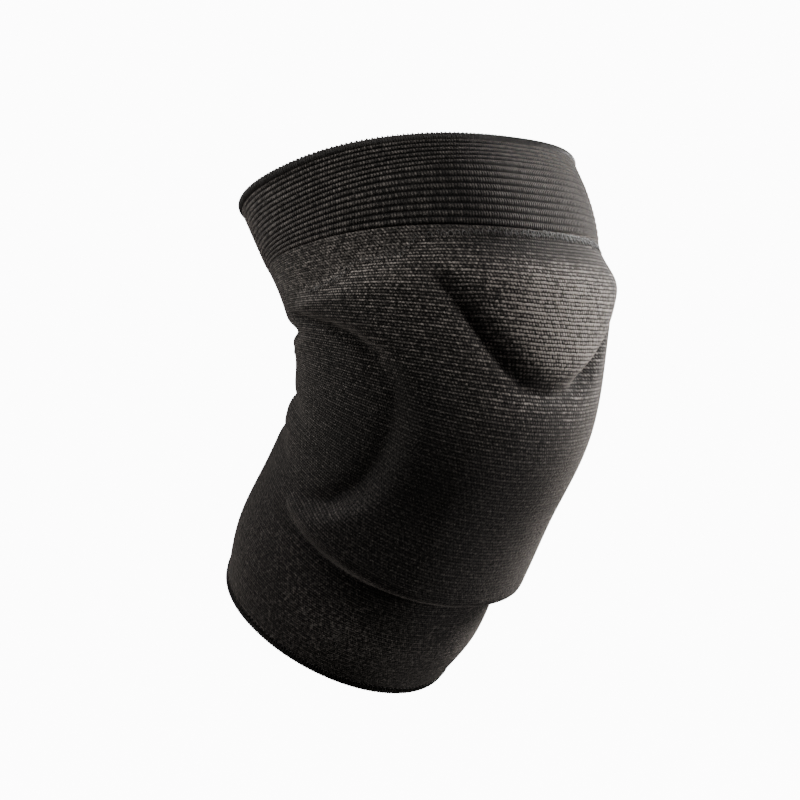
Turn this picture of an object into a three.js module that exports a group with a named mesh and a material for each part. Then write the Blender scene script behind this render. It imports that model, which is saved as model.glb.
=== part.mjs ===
// A padded knee sleeve for sport, in the bent shape it has when worn. Millimetres, +Z up.
// The origin is the middle of the hollow at the knee: the kneecap faces -Y, the thigh end is up.
// Every surface is a radius around one bent centreline, so the pieces share one form:
// the plain tube of the knit, plus the relief that the foam under it gives, minus the creases.
import * as THREE from "three";

// Driving sizes
const thighLength = 84; // centreline length from the origin to the thigh rim, at the sides
const shinLength = 123; // and to the shin rim
const frontDip = 9; // the thigh rim sits this much lower in front, and higher behind
const kneeRadius = 58; // half the width of the plain tube just below the kneecap
const bendRadius = 122; // of the centreline through the knee
const thighLean = THREE.MathUtils.degToRad(20);
const shinLean = THREE.MathUtils.degToRad(38);
const padThickness = 10.5; // foam over the front of the knee
const cupRise = 5.5; // how far the cup over the kneecap stands above the foam round it
const knitWall = 1.8; // tubular knit of the sleeve
const cuffWall = 2.2; // elastic rib knit of the upper cuff
const hemHeight = 3.7; // overlocked edge at the thigh
const shinHemHeight = 3.3; // overlocked edge at the shin
const pieceGap = 0.32; // clearance between neighbouring pieces
const edgeSpread = 1.5; // how far past the foam's edge the knit still lifts off the leg
const foamSlack = 0.4; // looseness of the knit over the foam, where both bend
const thinnestFoam = 1.0; // along the foam's edges and under the creases
const sleeveLength = thighLength + shinLength;

// Sections of the plain tube from the shin rim to the thigh rim.
// along: share of sleeveLength. half, front, back: shares of kneeRadius.
// roundness: exponent of the section, 2 is an ellipse, more is squarer.
const SECTIONS = [
  { along: 0.0, half: 0.905, front: 0.897, back: 0.836, roundness: 2.0 },
  { along: 0.12, half: 0.991, front: 0.948, back: 0.931, roundness: 2.1 },
  { along: 0.25, half: 0.957, front: 0.897, back: 0.957, roundness: 2.2 },
  { along: 0.4, half: 0.957, front: 0.845, back: 0.957, roundness: 2.3 },
  { along: 0.55, half: 1.009, front: 0.974, back: 0.914, roundness: 2.3 },
  { along: 0.7, half: 1.103, front: 0.991, back: 1.0, roundness: 2.3 },
  { along: 0.84, half: 1.198, front: 1.121, back: 1.078, roundness: 2.3 },
  { along: 1.0, half: 1.25, front: 1.034, back: 1.241, roundness: 2.2 },
];

// Outline of the foam, alike on both sides: how far round it reaches (degrees from the front).
// The dip between two wide bands is the notch that lets the knee bend.
const PAD_OUTLINE = [
  { along: 0.252, reach: 50 },
  { along: 0.256, reach: 76 },
  { along: 0.264, reach: 90 },
  { along: 0.284, reach: 97 },
  { along: 0.31, reach: 89 },
  { along: 0.345, reach: 77 },
  { along: 0.4, reach: 67 },
  { along: 0.48, reach: 60 },
  { along: 0.56, reach: 58 },
  { along: 0.62, reach: 65 },
  { along: 0.655, reach: 77 },
  { along: 0.672, reach: 90 },
  { along: 0.684, reach: 103 },
  { along: 0.708, reach: 108 },
  { along: 0.735, reach: 102 },
  { along: 0.757, reach: 88 },
  { along: 0.784, reach: 70 },
  { along: 0.808, reach: 52 },
  { along: 0.824, reach: 30 },
];

// Foam thickness round the knee, as a share of padThickness.
const PAD_THICKNESS = [
  { around: 0, share: 1.0 },
  { around: 30, share: 0.95 },
  { around: 60, share: 0.76 },
  { around: 85, share: 0.48 },
  { around: 100, share: 0.34 },
  { around: 115, share: 0.25 },
];

// Width of the foam's rounded edge in padThickness: crisp below, softer at the sides, softest above.
const PAD_EDGE = [
  { along: 0.26, front: 0.81, side: 1.14 },
  { along: 0.34, front: 1.05, side: 1.1 },
  { along: 0.68, front: 1.05, side: 1.05 },
  { along: 0.8, front: 1.9, side: 1.9 },
];

// Outline of the raised cup over the kneecap.
const CUP_OUTLINE = [
  { along: 0.632, reach: 7 },
  { along: 0.641, reach: 15 },
  { along: 0.657, reach: 22 },
  { along: 0.685, reach: 29 },
  { along: 0.715, reach: 34 },
  { along: 0.745, reach: 41 },
  { along: 0.77, reach: 46 },
  { along: 0.795, reach: 46 },
  { along: 0.82, reach: 41 },
  { along: 0.835, reach: 25 },
];
const cupShoulder = 1.9 * padThickness; // width over which the cup rounds up to its height
const cupFade = { from: 0.735, to: 0.845 }; // it sinks back into the thigh over this stretch

// Creases and folds, each a line on the surface, alike on both sides.
// around: degrees from the front. depth, width: shares of padThickness.
const CREASES = {
  underCup: [
    { around: 54, along: 0.79, depth: 0.0, width: 0.5 },
    { around: 47, along: 0.77, depth: 0.16, width: 0.42 },
    { around: 41, along: 0.748, depth: 0.44, width: 0.4 },
    { around: 34, along: 0.719, depth: 0.7, width: 0.38 },
    { around: 28, along: 0.686, depth: 0.78, width: 0.38 },
    { around: 21, along: 0.656, depth: 0.78, width: 0.4 },
    { around: 14, along: 0.643, depth: 0.77, width: 0.42 },
    { around: 7, along: 0.637, depth: 0.76, width: 0.44 },
    { around: 0, along: 0.636, depth: 0.74, width: 0.45 },
  ],
  notchTop: [
    { around: 116, along: 0.69, depth: 0.04, width: 0.23 },
    { around: 106, along: 0.681, depth: 0.3, width: 0.23 },
    { around: 90, along: 0.671, depth: 0.38, width: 0.23 },
    { around: 77, along: 0.653, depth: 0.34, width: 0.25 },
    { around: 68, along: 0.63, depth: 0.19, width: 0.3 },
  ],
  notchFront: [
    { around: 64, along: 0.6, depth: 0.04, width: 0.48 },
    { around: 59, along: 0.55, depth: 0.08, width: 0.57 },
    { around: 60, along: 0.48, depth: 0.12, width: 0.57 },
    { around: 65, along: 0.41, depth: 0.23, width: 0.52 },
    { around: 75, along: 0.35, depth: 0.25, width: 0.43 },
    { around: 86, along: 0.315, depth: 0.1, width: 0.38 },
  ],
  hollowUpper: [
    { around: 180, along: 0.655, depth: 0.38, width: 0.48 },
    { around: 140, along: 0.655, depth: 0.36, width: 0.43 },
    { around: 118, along: 0.645, depth: 0.24, width: 0.33 },
    { around: 106, along: 0.64, depth: 0.02, width: 0.28 },
  ],
  hollowMiddle: [
    { around: 180, along: 0.5, depth: 0.29, width: 0.67 },
    { around: 140, along: 0.48, depth: 0.27, width: 0.57 },
    { around: 118, along: 0.455, depth: 0.17, width: 0.48 },
    { around: 100, along: 0.44, depth: 0.02, width: 0.48 },
  ],
  hollowLower: [
    { around: 180, along: 0.39, depth: 0.15, width: 0.57 },
    { around: 145, along: 0.375, depth: 0.15, width: 0.57 },
    { around: 122, along: 0.35, depth: 0.1, width: 0.48 },
    { around: 105, along: 0.34, depth: 0.02, width: 0.38 },
  ],
  underPad: [
    { around: 0, along: 0.262, depth: 0.11, width: 0.34 },
    { around: 40, along: 0.247, depth: 0.13, width: 0.34 },
    { around: 76, along: 0.242, depth: 0.1, width: 0.34 },
    { around: 96, along: 0.25, depth: 0.02, width: 0.34 },
  ],
};

const rad = THREE.MathUtils.degToRad;
const clamp = THREE.MathUtils.clamp;
const ease = (x) => {
  const t = clamp(x, 0, 1);
  return t * t * (3 - 2 * t);
};

// Straight interpolation in a table's column.
function between(table, key, column, at) {
  if (at <= table[0][key]) return table[0][column];
  for (let i = 1; i < table.length; i++)
    if (at <= table[i][key]) {
      const a = table[i - 1];
      const b = table[i];
      return a[column] + ((b[column] - a[column]) * (at - a[key])) / (b[key] - a[key]);
    }
  return table[table.length - 1][column];
}

// Smooth curve through a column of SECTIONS (cubic pieces whose slopes come from the neighbours).
function sectionValue(column, along) {
  const rows = SECTIONS;
  const at = clamp(along, 0, 1);
  let i = 0;
  while (i < rows.length - 2 && at > rows[i + 1].along) i++;
  const slope = (k) => {
    const a = rows[Math.max(k - 1, 0)];
    const b = rows[Math.min(k + 1, rows.length - 1)];
    return (b[column] - a[column]) / (b.along - a.along);
  };
  const h = rows[i + 1].along - rows[i].along;
  const t = (at - rows[i].along) / h;
  return (
    (2 * t ** 3 - 3 * t ** 2 + 1) * rows[i][column] +
    (t ** 3 - 2 * t ** 2 + t) * h * slope(i) +
    (-2 * t ** 3 + 3 * t ** 2) * rows[i + 1][column] +
    (t ** 3 - t ** 2) * h * slope(i + 1)
  );
}

// The centreline: straight along the shin, an arc through the knee, straight along the thigh.
function centre(s) {
  const half = (bendRadius * (thighLean + shinLean)) / 2;
  const middle = (thighLean - shinLean) / 2;
  const onArc = clamp(s, -half, half);
  const lean = middle + onArc / bendRadius;
  const rest = s - onArc;
  return {
    y: bendRadius * (Math.cos(middle) - Math.cos(lean)) + rest * Math.sin(lean),
    z: bendRadius * (Math.sin(lean) - Math.sin(middle)) + rest * Math.cos(lean),
    lean,
  };
}

// Where a share of the length falls on the centreline, on the line around degrees from the front.
function station(around, along) {
  const top = thighLength - frontDip * Math.cos(rad(around));
  return -shinLength + along * (top + shinLength);
}

// A point at a radius from the centreline.
function place(around, along, radius) {
  const c = centre(station(around, along));
  const x = radius * Math.sin(rad(around));
  const n = radius * Math.cos(rad(around));
  return [x, c.y - n * Math.cos(c.lean), c.z + n * Math.sin(c.lean)];
}

// Where the knit tube ends and the cuff begins, share of sleeveLength.
const cuffStart = 0.8335;

// The surface laid flat, in millimetres, for distances between points on it.
const flat = (around, along) => [rad(around) * kneeRadius, along * sleeveLength];

// A half outline and its mirror image as one smooth closed curve on the flat surface.
function outline(table) {
  const half = table.map((r) => flat(r.reach, r.along));
  const ring = [...half, ...[...half].reverse().map(([x, y]) => [-x, y])];
  const vectors = ring.map(([x, y]) => new THREE.Vector3(x, y, 0));
  const curve = new THREE.CatmullRomCurve3(vectors, true, "catmullrom", 0.5);
  const n = ring.length * 5;
  return Array.from({ length: n }, (_, i) => curve.getPoint(i / n)).map((p) => [p.x, p.y]);
}
const padOutline = outline(PAD_OUTLINE);
const cupOutline = outline(CUP_OUTLINE);

// Distance from a point to a segment, and how far along the segment the nearest point lies.
function toSegment(x, y, a, b) {
  const dx = b[0] - a[0];
  const dy = b[1] - a[1];
  const t = clamp(((x - a[0]) * dx + (y - a[1]) * dy) / (dx * dx + dy * dy + 1e-9), 0, 1);
  return [Math.hypot(x - a[0] - t * dx, y - a[1] - t * dy), t];
}

// Distance to a closed outline, positive inside it.
function insideBy(ring, x, y) {
  let nearest = Infinity;
  let inside = false;
  for (let i = 0; i < ring.length; i++) {
    const a = ring[i];
    const b = ring[(i + 1) % ring.length];
    nearest = Math.min(nearest, toSegment(x, y, a, b)[0]);
    if (a[1] > y !== b[1] > y && x < ((b[0] - a[0]) * (y - a[1])) / (b[1] - a[1]) + a[0])
      inside = !inside;
  }
  return inside ? nearest : -nearest;
}

// Depth of a crease at a point of the flat surface.
const creaseLines = Object.values(CREASES).map((line) =>
  line.map((p) => ({ ...p, at: flat(p.around, p.along) })),
);
function creaseDepth(line, x, y) {
  let deepest = 0;
  for (let i = 1; i < line.length; i++) {
    const a = line[i - 1];
    const b = line[i];
    const [distance, t] = toSegment(x, y, a.at, b.at);
    const depth = padThickness * (a.depth + (b.depth - a.depth) * t);
    const width = padThickness * (a.width + (b.width - a.width) * t);
    deepest = Math.max(deepest, depth * Math.exp(-((distance / width) ** 2)));
  }
  return deepest;
}

// How far the foam, the cup and the creases move the knit out from the plain tube.
function relief(around, along) {
  const side = Math.abs(around);
  const [x, y] = flat(side, along);
  const atSide = ease(side / 90);
  const edgeFront = between(PAD_EDGE, "along", "front", along);
  const edgeSide = between(PAD_EDGE, "along", "side", along);
  const edge = padThickness * (edgeFront + (edgeSide - edgeFront) * atSide);
  const inEdge = ease((insideBy(padOutline, x, y) + edgeSpread) / edge);
  const thickness = padThickness * between(PAD_THICKNESS, "around", "share", side);
  let height = thickness * (1 - (1 - inEdge ** 0.75) ** 1.6);
  const inCup = clamp(insideBy(cupOutline, x, y) / cupShoulder, 0, 1);
  const cupShare = ease((cupFade.to - along) / (cupFade.to - cupFade.from));
  height += cupRise * Math.sqrt(1 - (1 - inCup) ** 2) * cupShare;
  for (const line of creaseLines) height -= creaseDepth(line, x, y);
  return height;
}

// Radius of the plain tube, and of the knit's outer face over everything under it.
function tubeRadius(around, along) {
  const m = sectionValue("roundness", along);
  const cos = Math.cos(rad(around));
  const depth = kneeRadius * sectionValue(cos > 0 ? "front" : "back", along);
  const half = kneeRadius * sectionValue("half", along);
  return ((Math.abs(Math.sin(rad(around))) / half) ** m + (Math.abs(cos) / depth) ** m) ** (-1 / m);
}
const outerRadius = (around, along) => tubeRadius(around, along) + relief(around, along);

// How much longer a step along the radius is than the wall it crosses, where the surface slopes.
function slant(around, along) {
  const degrees = 1.5;
  const share = 0.008;
  const most = 1.9;
  const across = outerRadius(around + degrees, along) - outerRadius(around - degrees, along);
  const up = outerRadius(around, along + share) - outerRadius(around, along - share);
  const wide = 2 * rad(degrees) * outerRadius(around, along);
  const high = 2 * share * sleeveLength;
  return Math.min(most, Math.hypot(1, across / wide, up / high));
}

// Columns round the leg, in degrees: closer together over the foam than at the back.
const foamSide = 110;
const foamColumns = 17;
const backColumns = 8;
function columns() {
  const list = [];
  for (let i = 0; i < foamColumns; i++) list.push((foamSide * i) / foamColumns);
  for (let i = 0; i <= backColumns; i++) list.push(foamSide + ((180 - foamSide) * i) / backColumns);
  const left = list.slice(1, -1).map((a) => -a).reverse();
  return [...left, ...list];
}
const COLUMNS = columns();

// A closed band: rings of points going up the outside, over the rim and down the inside.
function band(rings) {
  const wide = rings[0].length;
  const points = rings.flat(2);
  const faces = [];
  for (let r = 0; r < rings.length; r++) {
    const next = (r + 1) % rings.length;
    for (let c = 0; c < wide; c++) {
      const d = (c + 1) % wide;
      const a = r * wide + c;
      const b = r * wide + d;
      const e = next * wide + c;
      const f = next * wide + d;
      // the diagonals of the two sides mirror each other
      if (2 * c < wide) faces.push(a, b, f, a, f, e);
      else faces.push(a, b, e, b, f, e);
    }
  }
  return solid(points, faces);
}

function solid(points, faces) {
  const geometry = new THREE.BufferGeometry();
  geometry.setAttribute("position", new THREE.Float32BufferAttribute(points, 3));
  geometry.setIndex(faces);
  geometry.computeVertexNormals();
  return geometry;
}

const ringAt = (along, radius) => COLUMNS.map((a) => place(a, along, radius(a, along)));

// Grid lines of the knit tube bend to run along the creases, so that facets don't cross them.
// cup, notch: where the columns nominally at CUP_COLUMN and NOTCH_COLUMN run, in degrees.
const CUP_COLUMN = (foamSide * 5) / foamColumns;
const NOTCH_COLUMN = (foamSide * 10) / foamColumns;
const COLUMN_GUIDE = [
  { along: 0.2, cup: CUP_COLUMN, notch: NOTCH_COLUMN },
  { along: 0.35, cup: 31, notch: 75 },
  { along: 0.41, cup: 29, notch: 65.5 },
  { along: 0.48, cup: 26, notch: 60 },
  { along: 0.55, cup: 22, notch: 59 },
  { along: 0.6, cup: 17, notch: 63 },
  { along: 0.636, cup: 11, notch: 69 },
  { along: 0.643, cup: 14.5, notch: 69.5 },
  { along: 0.656, cup: 21, notch: 70 },
  { along: 0.686, cup: 28, notch: 71 },
  { along: 0.719, cup: 34, notch: 71 },
  { along: 0.748, cup: 41, notch: 72 },
  { along: 0.77, cup: 47, notch: 74 },
  { along: 0.79, cup: 50, notch: 75 },
  { along: 0.8335, cup: CUP_COLUMN, notch: NOTCH_COLUMN },
];
// padEdge, notchTop: how far the rows at PAD_ROW and NOTCH_ROW move up, share of sleeveLength.
const PAD_ROW = 0.27;
const NOTCH_ROW = 0.655;
const GUIDE_SPAN = 0.16; // rows farther away than this don't move
const ROW_GUIDE = [
  { around: 0, padEdge: 0.007, notchTop: 0.0 },
  { around: 20, padEdge: 0.004, notchTop: 0.0 },
  { around: 38, padEdge: -0.008, notchTop: 0.0 },
  { around: 56, padEdge: -0.018, notchTop: -0.004 },
  { around: 68, padEdge: -0.017, notchTop: -0.018 },
  { around: 77, padEdge: -0.015, notchTop: -0.002 },
  { around: 90, padEdge: -0.008, notchTop: 0.016 },
  { around: 106, padEdge: 0.004, notchTop: 0.026 },
  { around: 125, padEdge: 0.0, notchTop: 0.012 },
  { around: 150, padEdge: 0.0, notchTop: 0.0 },
];
function gridPoint(column, row) {
  const side = Math.abs(column);
  const cup = between(COLUMN_GUIDE, "along", "cup", row);
  const notch = between(COLUMN_GUIDE, "along", "notch", row);
  const guide = [
    { from: 0, to: 0 },
    { from: CUP_COLUMN, to: cup },
    { from: NOTCH_COLUMN, to: notch },
    { from: foamSide, to: foamSide },
    { from: 180, to: 180 },
  ];
  const around = Math.sign(column) * between(guide, "from", "to", side);
  const nearPad = ease(1 - Math.abs(row - PAD_ROW) / GUIDE_SPAN);
  const nearNotch = ease(1 - Math.abs(row - NOTCH_ROW) / GUIDE_SPAN);
  const shift =
    nearPad * between(ROW_GUIDE, "around", "padEdge", Math.abs(around)) +
    nearNotch * between(ROW_GUIDE, "around", "notchTop", Math.abs(around));
  return [around, row + shift];
}

// The knit tube from the shin hem to the cuff, over the foam and into every crease.
// The rows lie closest where the surface turns most.
function sleeve() {
  const bottom = (shinHemHeight + pieceGap) / sleeveLength;
  const rows = [
    bottom, 0.06, 0.11, 0.16, 0.205, 0.235, 0.25, 0.259, 0.267, 0.276, 0.29, 0.31, 0.34, 0.37, 0.4,
    0.43, 0.47, 0.51, 0.55, 0.585, 0.61, 0.626, 0.636, 0.644, 0.655, 0.662, 0.672, 0.688, 0.706,
    0.724, 0.742, 0.76, 0.779, 0.798, 0.817, cuffStart,
  ];
  const rings = rows.map((v) =>
    COLUMNS.map((c) => {
      const [around, along] = gridPoint(c, v);
      const outer = outerRadius(around, along);
      const inner = outer - knitWall * slant(around, along);
      return [place(around, along, outer), place(around, along, inner)];
    }),
  );
  return band([
    ...rings.map((ring) => ring.map((p) => p[0])),
    ...rings.reverse().map((ring) => ring.map((p) => p[1])),
  ]);
}

// The elastic cuff, from the end of the knit tube to the thigh hem.
function upperCuff() {
  const low = cuffStart + pieceGap / sleeveLength;
  const high = 1 - (hemHeight + pieceGap) / sleeveLength;
  const rows = [0, 0.25, 0.5, 0.75, 1].map((t) => low + (high - low) * t);
  const inner = (a, v) => outerRadius(a, v) - cuffWall;
  return band([
    ...rows.map((v) => ringAt(v, outerRadius)),
    ...[...rows].reverse().map((v) => ringAt(v, inner)),
  ]);
}

// An overlocked edge: a rounded cord of thread all round the rim.
// up, out: corners of its section, shares of its height and of its thickness.
const HEM_SECTION = [
  { up: 0.0, out: 0.25 },
  { up: 0.0, out: 0.75 },
  { up: 0.3, out: 1.0 },
  { up: 0.7, out: 1.0 },
  { up: 1.0, out: 0.75 },
  { up: 1.0, out: 0.25 },
  { up: 0.7, out: 0.0 },
  { up: 0.3, out: 0.0 },
];
function hem(low, high, wall) {
  const thick = 1.45 * wall;
  const proud = 0.25 * wall;
  return band(
    HEM_SECTION.map(({ up, out }) =>
      ringAt(low + (high - low) * up, (a, v) => outerRadius(a, v) + proud - thick * (1 - out)),
    ),
  );
}

// The moulded foam under the knit: its outer face lies under the knit's inner face, its inner face
// on the leg. Rows run across it from edge to edge of its outline. Being stiffer than the knit it
// doesn't fill the tightest corners, so each point keeps below the knit all round it.
function foamPad() {
  const rows = [
    0.262, 0.27, 0.285, 0.31, 0.345, 0.38, 0.42, 0.46, 0.5, 0.54, 0.58, 0.61, 0.632, 0.648, 0.664,
    0.68, 0.7, 0.72, 0.74, 0.76, 0.785, 0.812,
  ];
  const across = Array.from({ length: 25 }, (_, i) => i / 12 - 1);
  const inset = THREE.MathUtils.radToDeg((0.48 * padThickness) / kneeRadius);
  const reach = (v) => between(PAD_OUTLINE, "along", "reach", v) - inset;
  const under = (a, v) => outerRadius(a, v) - (knitWall + pieceGap) * slant(a, v);
  const outer = (a, v) => {
    const nearby = [-4.5, 0, 4.5].flatMap((da) =>
      [-0.011, 0, 0.011].map((dv) => under(a + da, v + dv)),
    );
    return Math.min(...nearby) - foamSlack;
  };
  const sheets = [[], []];
  for (const v of rows) {
    const faces = across.map((t) => {
      const a = reach(v) * t;
      const top = outer(a, v);
      return [place(a, v, top), place(a, v, Math.min(tubeRadius(a, v) - knitWall, top - thinnestFoam))];
    });
    sheets.forEach((sheet, i) => sheet.push(faces.map((f) => f[i])));
  }
  return slab(...sheets);
}

// A solid between two grids of points, closed round their rim.
function slab(front, back) {
  const rows = front.length;
  const wide = front[0].length;
  const points = [...front.flat(2), ...back.flat(2)];
  const n = rows * wide;
  const faces = [];
  const quad = (a, b, c, d) => faces.push(a, b, c, a, c, d);
  for (let r = 0; r < rows - 1; r++)
    for (let c = 0; c < wide - 1; c++) {
      const a = r * wide + c;
      quad(a, a + 1, a + 1 + wide, a + wide);
      quad(n + a, n + a + wide, n + a + 1 + wide, n + a + 1);
    }
  for (let c = 0; c < wide - 1; c++) {
    const t = (rows - 1) * wide + c;
    quad(c + 1, c, n + c, n + c + 1);
    quad(t, t + 1, n + t + 1, n + t);
  }
  for (let r = 0; r < rows - 1; r++) {
    const a = r * wide;
    const b = a + wide - 1;
    quad(a, a + wide, n + a + wide, n + a);
    quad(b + wide, b, n + b, n + b + wide);
  }
  return solid(points, faces);
}

const knit = new THREE.MeshStandardMaterial({ color: 0x1b1a19, roughness: 0.95 });
const rib = new THREE.MeshStandardMaterial({ color: 0x191818, roughness: 0.92 });
const thread = new THREE.MeshStandardMaterial({ color: 0x141413, roughness: 0.85 });
const foam = new THREE.MeshStandardMaterial({ color: 0x3a3a3c, roughness: 1.0 });

const group = new THREE.Group();
function add(name, geometry, material) {
  const mesh = new THREE.Mesh(geometry, material);
  mesh.name = name;
  group.add(mesh);
}
add("sleeve", sleeve(), knit);
add("upper_cuff", upperCuff(), rib);
add("top_hem", hem(1 - hemHeight / sleeveLength, 1, cuffWall), thread);
add("bottom_hem", hem(0, shinHemHeight / sleeveLength, knitWall), thread);
add("foam_pad", foamPad(), foam);

export default group;
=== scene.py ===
# %% [markdown]
# # A padded knee sleeve, bent as it is when worn
#
# The real thing is a tube of black elastic knit with a moulded foam pad under it. The foam reaches
# from the kneecap to the upper shin, has a raised cup over the kneecap, and is cut away at both
# sides so that the knee can bend. A ribbed cuff grips the thigh, and both rims are overlocked.
#
# All of it follows one bent form, so the lesson first says that form in numbers, and then lays
# every cloth, thread and foam piece on it. Lengths are metres; -Y points out through the kneecap.

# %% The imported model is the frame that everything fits
import math

import bpy
import numpy as np
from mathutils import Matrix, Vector


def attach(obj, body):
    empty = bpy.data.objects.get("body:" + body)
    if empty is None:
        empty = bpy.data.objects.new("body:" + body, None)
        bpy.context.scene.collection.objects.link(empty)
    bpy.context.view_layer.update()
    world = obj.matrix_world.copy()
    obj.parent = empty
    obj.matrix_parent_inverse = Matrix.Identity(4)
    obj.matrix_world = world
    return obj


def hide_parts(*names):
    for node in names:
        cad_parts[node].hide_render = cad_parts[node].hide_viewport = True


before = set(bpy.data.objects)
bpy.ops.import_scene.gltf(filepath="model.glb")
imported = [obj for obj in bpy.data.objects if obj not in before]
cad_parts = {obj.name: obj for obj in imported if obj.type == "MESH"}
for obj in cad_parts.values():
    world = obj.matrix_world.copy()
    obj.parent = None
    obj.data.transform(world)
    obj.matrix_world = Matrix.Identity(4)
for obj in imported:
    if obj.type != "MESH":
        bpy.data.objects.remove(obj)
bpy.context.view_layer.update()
print("CAD nodes:", sorted(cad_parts))

# %% [markdown]
# ## The form, part one: the centreline
#
# A knee that is bent has three stretches: a straight shin, an arc through the knee and a straight
# thigh. Each place on the sleeve then has two numbers, "around", in degrees from the front, and
# "along", the share of the way from the shin rim to the thigh rim. A table of points in space would
# say the same, but a pair of numbers that means something is far easier to shape and to stitch on.

# %% The centreline and places on it
THIGH_LENGTH = 0.084  # from the origin to the thigh rim, at the sides
SHIN_LENGTH = 0.123
FRONT_DIP = 0.009  # the thigh rim is lower in front and higher behind
SLEEVE_LENGTH = THIGH_LENGTH + SHIN_LENGTH
BEND_RADIUS = 0.122
THIGH_LEAN = math.radians(20)
SHIN_LEAN = math.radians(38)
KNEE_RADIUS = 0.058  # half the width of the plain tube at the knee
HEM_HEIGHT = 0.0037
SHIN_HEM_HEIGHT = 0.0033
KNIT_WALL = 0.0018
CUFF_WALL = 0.0022
PIECE_GAP = 0.00032  # between the knit and the piece next to it
HEM_LAP = 0.0007  # how far a cloth runs into the rolled hem that is sewn over its edge
CUFF_START = 1 - 0.0345 / SLEEVE_LENGTH  # the rib knit and its hem are 34.5 mm high


def centre(s):
    """Depth, height and lean of the centreline, s metres up from the origin."""
    half = BEND_RADIUS * (THIGH_LEAN + SHIN_LEAN) / 2
    middle = (THIGH_LEAN - SHIN_LEAN) / 2
    on_arc = np.clip(s, -half, half)
    lean = middle + on_arc / BEND_RADIUS
    rest = s - on_arc
    y = BEND_RADIUS * (math.cos(middle) - np.cos(lean)) + rest * np.sin(lean)
    z = BEND_RADIUS * (np.sin(lean) - math.sin(middle)) + rest * np.cos(lean)
    return y, z, lean


def place(around, along, radius):
    """The point at a radius from the centreline, as rows of x, y, z."""
    turn = np.radians(around)
    top = THIGH_LENGTH - FRONT_DIP * np.cos(turn)
    y, z, lean = centre(-SHIN_LENGTH + along * (top + SHIN_LENGTH))
    out = radius * np.cos(turn)
    return np.stack([radius * np.sin(turn), y - out * np.cos(lean), z + out * np.sin(lean)], -1)


leans = [round(math.degrees(centre(s)[2])) for s in (-SHIN_LENGTH, THIGH_LENGTH)]
print("centreline leans from", leans[0], "to", leans[1], "degrees over", SLEEVE_LENGTH, "m")

# %% [markdown]
# ## The form, part two: the plain tube
#
# Without its foam the sleeve would be a tube whose sections change from a narrow shin to a wide
# thigh. Each row here is one section: half its width, how far it reaches in front and behind, and
# how square it is. A smooth curve runs through each column, so eight rows are enough.

# %% Sections of the tube, as shares of KNEE_RADIUS
SECTIONS = {
    "along": [0.0, 0.12, 0.25, 0.4, 0.55, 0.7, 0.84, 1.0],
    "half": [0.905, 0.991, 0.957, 0.957, 1.009, 1.103, 1.198, 1.25],
    "front": [0.897, 0.948, 0.897, 0.845, 0.974, 0.991, 1.121, 1.034],
    "back": [0.836, 0.931, 0.957, 0.957, 0.914, 1.0, 1.078, 1.241],
    "roundness": [2.0, 2.1, 2.2, 2.3, 2.3, 2.3, 2.3, 2.2],
}


def section_value(column, along):
    """A smooth curve through one column of SECTIONS."""
    at, rows = np.array(SECTIONS["along"]), np.array(SECTIONS[column])
    n = len(at)
    x = np.clip(along, 0, 1)
    i = np.clip(np.searchsorted(at, x, side="left") - 1, 0, n - 2)
    before, after = np.maximum(np.arange(n) - 1, 0), np.minimum(np.arange(n) + 1, n - 1)
    slope = (rows[after] - rows[before]) / (at[after] - at[before])
    h = at[i + 1] - at[i]
    t = (x - at[i]) / h
    return (
        (2 * t**3 - 3 * t**2 + 1) * rows[i]
        + (t**3 - 2 * t**2 + t) * h * slope[i]
        + (-2 * t**3 + 3 * t**2) * rows[i + 1]
        + (t**3 - t**2) * h * slope[i + 1]
    )


def tube_radius(around, along):
    m = section_value("roundness", along)
    sin, cos = np.abs(np.sin(np.radians(around))), np.cos(np.radians(around))
    reach = np.where(cos > 0, section_value("front", along), section_value("back", along))
    half = KNEE_RADIUS * section_value("half", along)
    return ((sin / half) ** m + (np.abs(cos) / (KNEE_RADIUS * reach)) ** m) ** (-1 / m)


print("tube at the knee:", tube_radius(np.array([0.0, 90, 180]), np.full(3, 0.55)).round(4))

# %% [markdown]
# ## The form, part three: foam, cup and creases
#
# The knit shows the foam under it as a soft step. That step is a function of the distance to the
# foam's outline, drawn on the sleeve as if it were laid flat. The cup over the kneecap is a second,
# rounder step. Every crease is a line with a depth and a width, pressed in as a smooth groove.
# Distances to lines keep the creases crisp and even, where pushing single vertices would wobble.

# %% Outlines and creases: around in degrees, along as a share
PAD_THICKNESS = 0.0105  # of the foam over the front of the knee
CUP_RISE = 0.005  # how far the cup stands above the foam round it
EDGE_SPREAD = 0.0015  # how far past the foam's edge the knit is still lifted
CUP_SHOULDER = 1.9 * PAD_THICKNESS  # how far in from its outline the cup is still rising
CUP_FADE = (0.68, 0.82)  # the cup sinks back into the thigh over this stretch of along
# one side of each outline: around, along
PAD_OUTLINE = [
    (50, 0.252), (76, 0.256), (90, 0.264), (97, 0.284), (89, 0.31), (77, 0.345), (67, 0.4),
    (60, 0.48), (58, 0.56), (65, 0.62), (77, 0.655), (90, 0.672), (103, 0.684), (108, 0.708),
    (102, 0.735), (88, 0.757), (70, 0.784), (52, 0.808), (30, 0.824),
]
CUP_OUTLINE = [
    (7, 0.618), (15, 0.631), (22, 0.65), (29, 0.676), (34, 0.702), (41, 0.736), (47, 0.762),
    (47, 0.79), (41, 0.818), (25, 0.835),
]
# degrees round, and the foam's thickness there as a share of PAD_THICKNESS
THICKNESS_ROUND = ([0, 30, 60, 85, 100, 115], [1.0, 0.95, 0.66, 0.42, 0.32, 0.25])
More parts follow.
